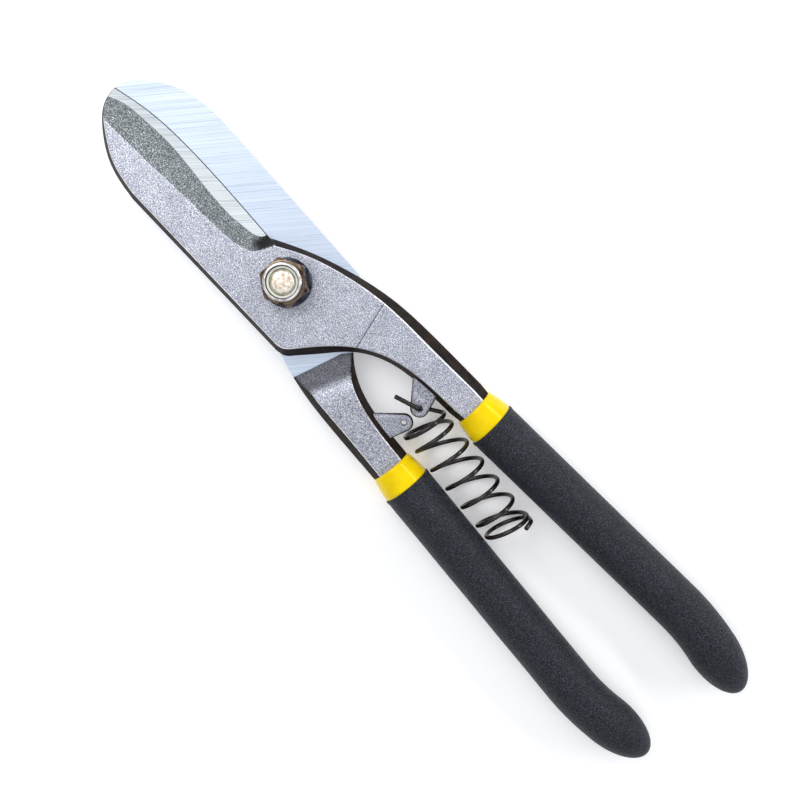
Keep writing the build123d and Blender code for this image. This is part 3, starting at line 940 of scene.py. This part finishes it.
def handle_line(side, start_x, bend_x):
    """One handle's middle line: a function from a distance to (point, heading), and its length."""
    heading = np.array([-cos(SPREAD), side * sin(SPREAD)])
    start = np.array([start_x, side * (HANDLE_START[1] + (HANDLE_START[0] - start_x) * tan(SPREAD))])
    straight = (start_x - bend_x) / cos(SPREAD)
    bend_length = BEND_RADIUS * BEND
    normal = side * np.array([-heading[1], heading[0]])

    def at(distance):
        if distance <= straight:
            return start + heading * distance, heading
        angle = min(distance - straight, bend_length) / BEND_RADIUS
        turned = heading * cos(angle) + normal * sin(angle)
        centre = start + heading * straight + normal * BEND_RADIUS
        point = centre - (normal * cos(angle) - heading * sin(angle)) * BEND_RADIUS
        return point + turned * max(0.0, distance - straight - bend_length), turned
    return at, straight + bend_length


def sweep(line, rings, wobble, seed, count=72):
    """Vertices and faces of a capped, slightly uneven tube through rings (distance, radius)."""
    vertices = []
    faces = []
    for distance, radius in rings:
        centre, heading = line(distance)
        across = np.array([-heading[1], heading[0]])
        for k in range(count):
            turn = 2 * pi * k / count
            uneven = sin(2 * turn + distance * 0.11 * seed) + sin(distance * 0.23 + seed)
            r = radius * (1 + wobble * uneven)
            flat_point = centre + across * r * cos(turn)
            vertices.append((flat_point[0], flat_point[1], GRIP_LEVEL + r * sin(turn)))
    for row in range(len(rings) - 1):
        for k in range(count):
            following = (k + 1) % count
            faces.append((row * count + k, row * count + following,
                          (row + 1) * count + following, (row + 1) * count + k))
    faces.append(tuple(range(count))[::-1])
    faces.append(tuple(range((len(rings) - 1) * count, len(rings) * count)))
    return vertices, faces


def dome_rings(start, reach, radius, count):
    """Rings of an elliptical end, from just past its start to just short of its tip."""
    return [(start + reach * sin(t), radius * cos(t)) for t in np.linspace(0.03, pi / 2 - 0.02, count)]


def grip_rings(length):
    """The black grip: a front lip, a long even body and an elliptical end."""
    radius = GRIP_RADIUS - GRIP_WALL
    rings = [(0.0, GRIP_MOUTH), (0.0, radius - 0.35), (0.12, radius - 0.1), (0.4, radius), (0.9, radius),
             (1.3, radius - 0.12), (1.8, radius - 0.18)]
    rings += [(d, radius - 0.15) for d in np.arange(3.5, length, 1.6)]
    return rings + dome_rings(length, GRIP_DOME, radius - 0.1, 26)


def sleeve_rings(length, stop):
    """The yellow sleeve: it swells from its rounded front lip to the grip, and runs on inside."""
    front = SLEEVE_FRONT
    swell = SLEEVE_REAR - SLEEVE_FRONT
    rings = [(0.05, 5.4), (0.0, front - 0.5), (0.1, front - 0.2), (0.4, front)]
    rings += [(d, front + swell * sin(min(1.0, d / stop) * pi / 2) ** 1.2) for d in np.linspace(0.9, stop, 9)]
    rings += [(stop + 0.6, SLEEVE_INSIDE + 0.1), (stop + 2.0, SLEEVE_INSIDE)]
    rings += [(d, SLEEVE_INSIDE) for d in np.arange(stop + 6.0, length, 4.0)]
    return rings + dome_rings(length, SLEEVE_DOME, SLEEVE_INSIDE, 10)


for side, half, grip_high, sleeve_high, seed in ((-1, "front", front_grip_high, front_sleeve_high, 1.7),
                                                 (1, "back", back_grip_high, back_sleeve_high, 2.3)):
    body = half + "_half"
    grip_x = grip_high[0] - GRIP_RADIUS * sin(SPREAD)
    sleeve_x = sleeve_high[0] - SLEEVE_LIP * sin(SPREAD)
    bend_x = grip_x - GRIP_STRAIGHT
    line, length = handle_line(side, grip_x, bend_x)
    vertices, faces = sweep(line, grip_rings(length), 0.0016, seed)
    add_piece(half + "_grip_cover", vertices, faces, [BLACK_GRIP], half + "_grip", body,
              crease=60)
    line, length = handle_line(side, sleeve_x, bend_x)
    vertices, faces = sweep(line, sleeve_rings(length, sleeve_x - grip_x + 0.2), 0.001, 1.3)
    add_piece(half + "_sleeve", vertices, faces, [YELLOW], half + "_inner_sleeve", body,
              crease=60)

# ---- spring ----
WIRE = 0.7
COIL = 7.0
COIL_START = np.array([-60.2, -0.75, 7.8])
COIL_END_Y = 1.65
COIL_STRETCHES = [(0.75, 1.0), (5.25, 7.5), (1.0, 1.45)]     # (turns, pitch)
COIL_SHEAR = 1.75            # the turns stand aslant: each one's -Y side lies this far towards the grips
TURN_STEPS = 40
EASING = (-0.12, -0.06, 0.0, 0.06, 0.12)
HOOK = [(-46.9, -0.7, 13.0), (-54.9, -3.3, 11.0), (-54.9, -3.3, 4.9)]
TAIL_RISE = 3.2
WIRE_BEND = 1.0
TAIL_TIP = (-103.8, -2.8, 13.3)


def coil_points():
    """The middle of the wire along the coil, with the closed ends eased into the open turns."""
    length = sum(turns * pitch for turns, pitch in COIL_STRETCHES)
    lean = (COIL_END_Y - COIL_START[1]) / length
    along = np.array([-1.0, lean, 0.0]) / sqrt(1 + lean ** 2)
    side_axis = np.array([-lean, -1.0, 0.0]) / sqrt(1 + lean ** 2)
    up_axis = np.array([0.0, 0.0, 1.0])
    points = []
    total = sum(turns for turns, pitch in COIL_STRETCHES)
    marks = np.cumsum([0.0] + [turns for turns, pitch in COIL_STRETCHES])
    heights = np.cumsum([0.0] + [turns * pitch for turns, pitch in COIL_STRETCHES])
    for turn in np.arange(0.0, total + 1e-6, 1 / TURN_STEPS):
        travel = 0.0
        for shift in EASING:
            travel += np.interp(turn + shift, marks, heights) / len(EASING)
        phase = 2 * pi * turn
        slant = along * COIL_SHEAR * cos(phase) * min(1.0, 0.4 + turn)
        around = side_axis * cos(phase) + up_axis * sin(phase)
        points.append(COIL_START + along * travel + slant + COIL * around)
    return points


def eased(points, radius, count=6):
    """A line of straight runs with its inner corners rounded."""
    points = [np.array(p, float) for p in points]
    line = [points[0]]
    for before, corner, after in zip(points, points[1:], points[2:]):
        into = (corner - before) / np.linalg.norm(corner - before)
        out = (after - corner) / np.linalg.norm(after - corner)
        first = corner - into * radius
        last = corner + out * radius
        for k in range(count + 1):
            t = k / count
            line.append((1 - t) ** 2 * first + 2 * t * (1 - t) * corner + t ** 2 * last)
    line.append(points[-1])
    return line


def wire_tube(line, radius, count=20):
    """Vertices and faces of a round wire with slightly rounded cut ends."""
    line = [np.array(p, float) for p in line]
    spaced = [line[0]]
    for p in line[1:]:
        if np.linalg.norm(p - spaced[-1]) > 0.05:
            spaced.append(p)
    tangents = []
    for k, p in enumerate(spaced):
        ahead = spaced[min(k + 1, len(spaced) - 1)] - spaced[max(k - 1, 0)]
        tangents.append(ahead / np.linalg.norm(ahead))
    rows = [(spaced[0], tangents[0], radius * 0.8, -0.10), (spaced[0], tangents[0], radius, 0.05)]
    rows += [(p, t, radius, 0.0) for p, t in zip(spaced[1:-1], tangents[1:-1])]
    rows += [(spaced[-1], tangents[-1], radius, -0.05), (spaced[-1], tangents[-1], radius * 0.8, 0.10)]
    normal = np.cross(tangents[0], (0.3, 0.5, 0.8))
    vertices = []
    faces = []
    for centre, tangent, size, push in rows:
        normal = normal - tangent * (normal @ tangent)
        normal = normal / np.linalg.norm(normal)
        across = np.cross(tangent, normal)
        for k in range(count):
            turn = 2 * pi * k / count
            vertices.append(tuple(centre + tangent * push + size * (normal * cos(turn) + across * sin(turn))))
    for row in range(len(rows) - 1):
        for k in range(count):
            following = (k + 1) % count
            faces.append((row * count + k, row * count + following,
                          (row + 1) * count + following, (row + 1) * count + k))
    faces.append(tuple(range(count))[::-1])
    faces.append(tuple(range((len(rows) - 1) * count, len(rows) * count)))
    return vertices, faces


coil = coil_points()
hook_foot = (coil[0][0], coil[0][1], HOOK[-1][2])
tail_foot = coil[-1] + np.array([0, 0, TAIL_RISE])
hook_line = eased(HOOK + [hook_foot, coil[0]], WIRE_BEND)
tail_line = eased([coil[-1], tail_foot, TAIL_TIP], WIRE_BEND)
wire_vertices, wire_faces = wire_tube(hook_line + coil[1:] + tail_line[1:], WIRE)
add_piece("spring_wire", wire_vertices, wire_faces, [WIRE_METAL], "return_spring", "spring",
          crease=50)

# ---- floor and light ----
floor_mesh = bpy.data.meshes.new("floor")
HALF_FLOOR = 3.0
floor_corners = [(x * HALF_FLOOR, y * HALF_FLOOR, 0) for x, y in ((-1, -1), (1, -1), (1, 1), (-1, 1))]
floor_mesh.from_pydata(floor_corners, [], [(0, 1, 2, 3)])
floor = bpy.data.objects.new("floor", floor_mesh)
floor.location = (0, 0, CAD_BOX[0].z - 0.0002)
bpy.context.scene.collection.objects.link(floor)
floor_material, floor_nodes, floor_links, floor_shader = new_material("floor_white")
floor_vector = grid_mapping(floor_nodes, floor_links, (1, 1, 1))
floor_cloud = noise(floor_nodes, floor_links, floor_vector, 6.0)
floor_tones = [(0.3, (0.93, 0.93, 0.935)), (0.7, (0.95, 0.95, 0.955))]
floor_links.new(ramp(floor_nodes, floor_links, floor_cloud, floor_tones), floor_shader.inputs["Base Color"])
floor_shader.inputs["Roughness"].default_value = 0.9
floor_shader.inputs["Emission Color"].default_value = (1.0, 1.0, 1.0, 1)
floor_shader.inputs["Emission Strength"].default_value = 0.22
floor_mesh.materials.append(floor_material)


def area_light(name, place, target, size, watts):
    """A soft rectangular light aimed at a point."""
    data = bpy.data.lights.new(name, "AREA")
    data.shape = "RECTANGLE"
    data.size, data.size_y = size
    data.energy = watts
    light = bpy.data.objects.new(name, data)
    light.location = place
    light.rotation_euler = (Vector(target) - Vector(place)).to_track_quat("-Z", "Y").to_euler()
    bpy.context.scene.collection.objects.link(light)


subject = (-0.05, 0.0, 0.0)
area_light("key", (0.36, -0.07, 0.48), subject, (0.4, 0.4), 1.65)
area_light("top", (-0.10, 0.10, 0.80), subject, (0.9, 0.9), 1.0)
area_light("strip", (-0.15, -0.60, 0.42), subject, (0.9, 0.05), 2.2)

world = bpy.data.worlds.new("studio")
world.use_nodes = True
world.node_tree.nodes["Background"].inputs["Color"].default_value = (0.93, 0.95, 1.0, 1)
world.node_tree.nodes["Background"].inputs["Strength"].default_value = 0.55
bpy.context.scene.world = world
bpy.context.scene.view_settings.view_transform = "Standard"
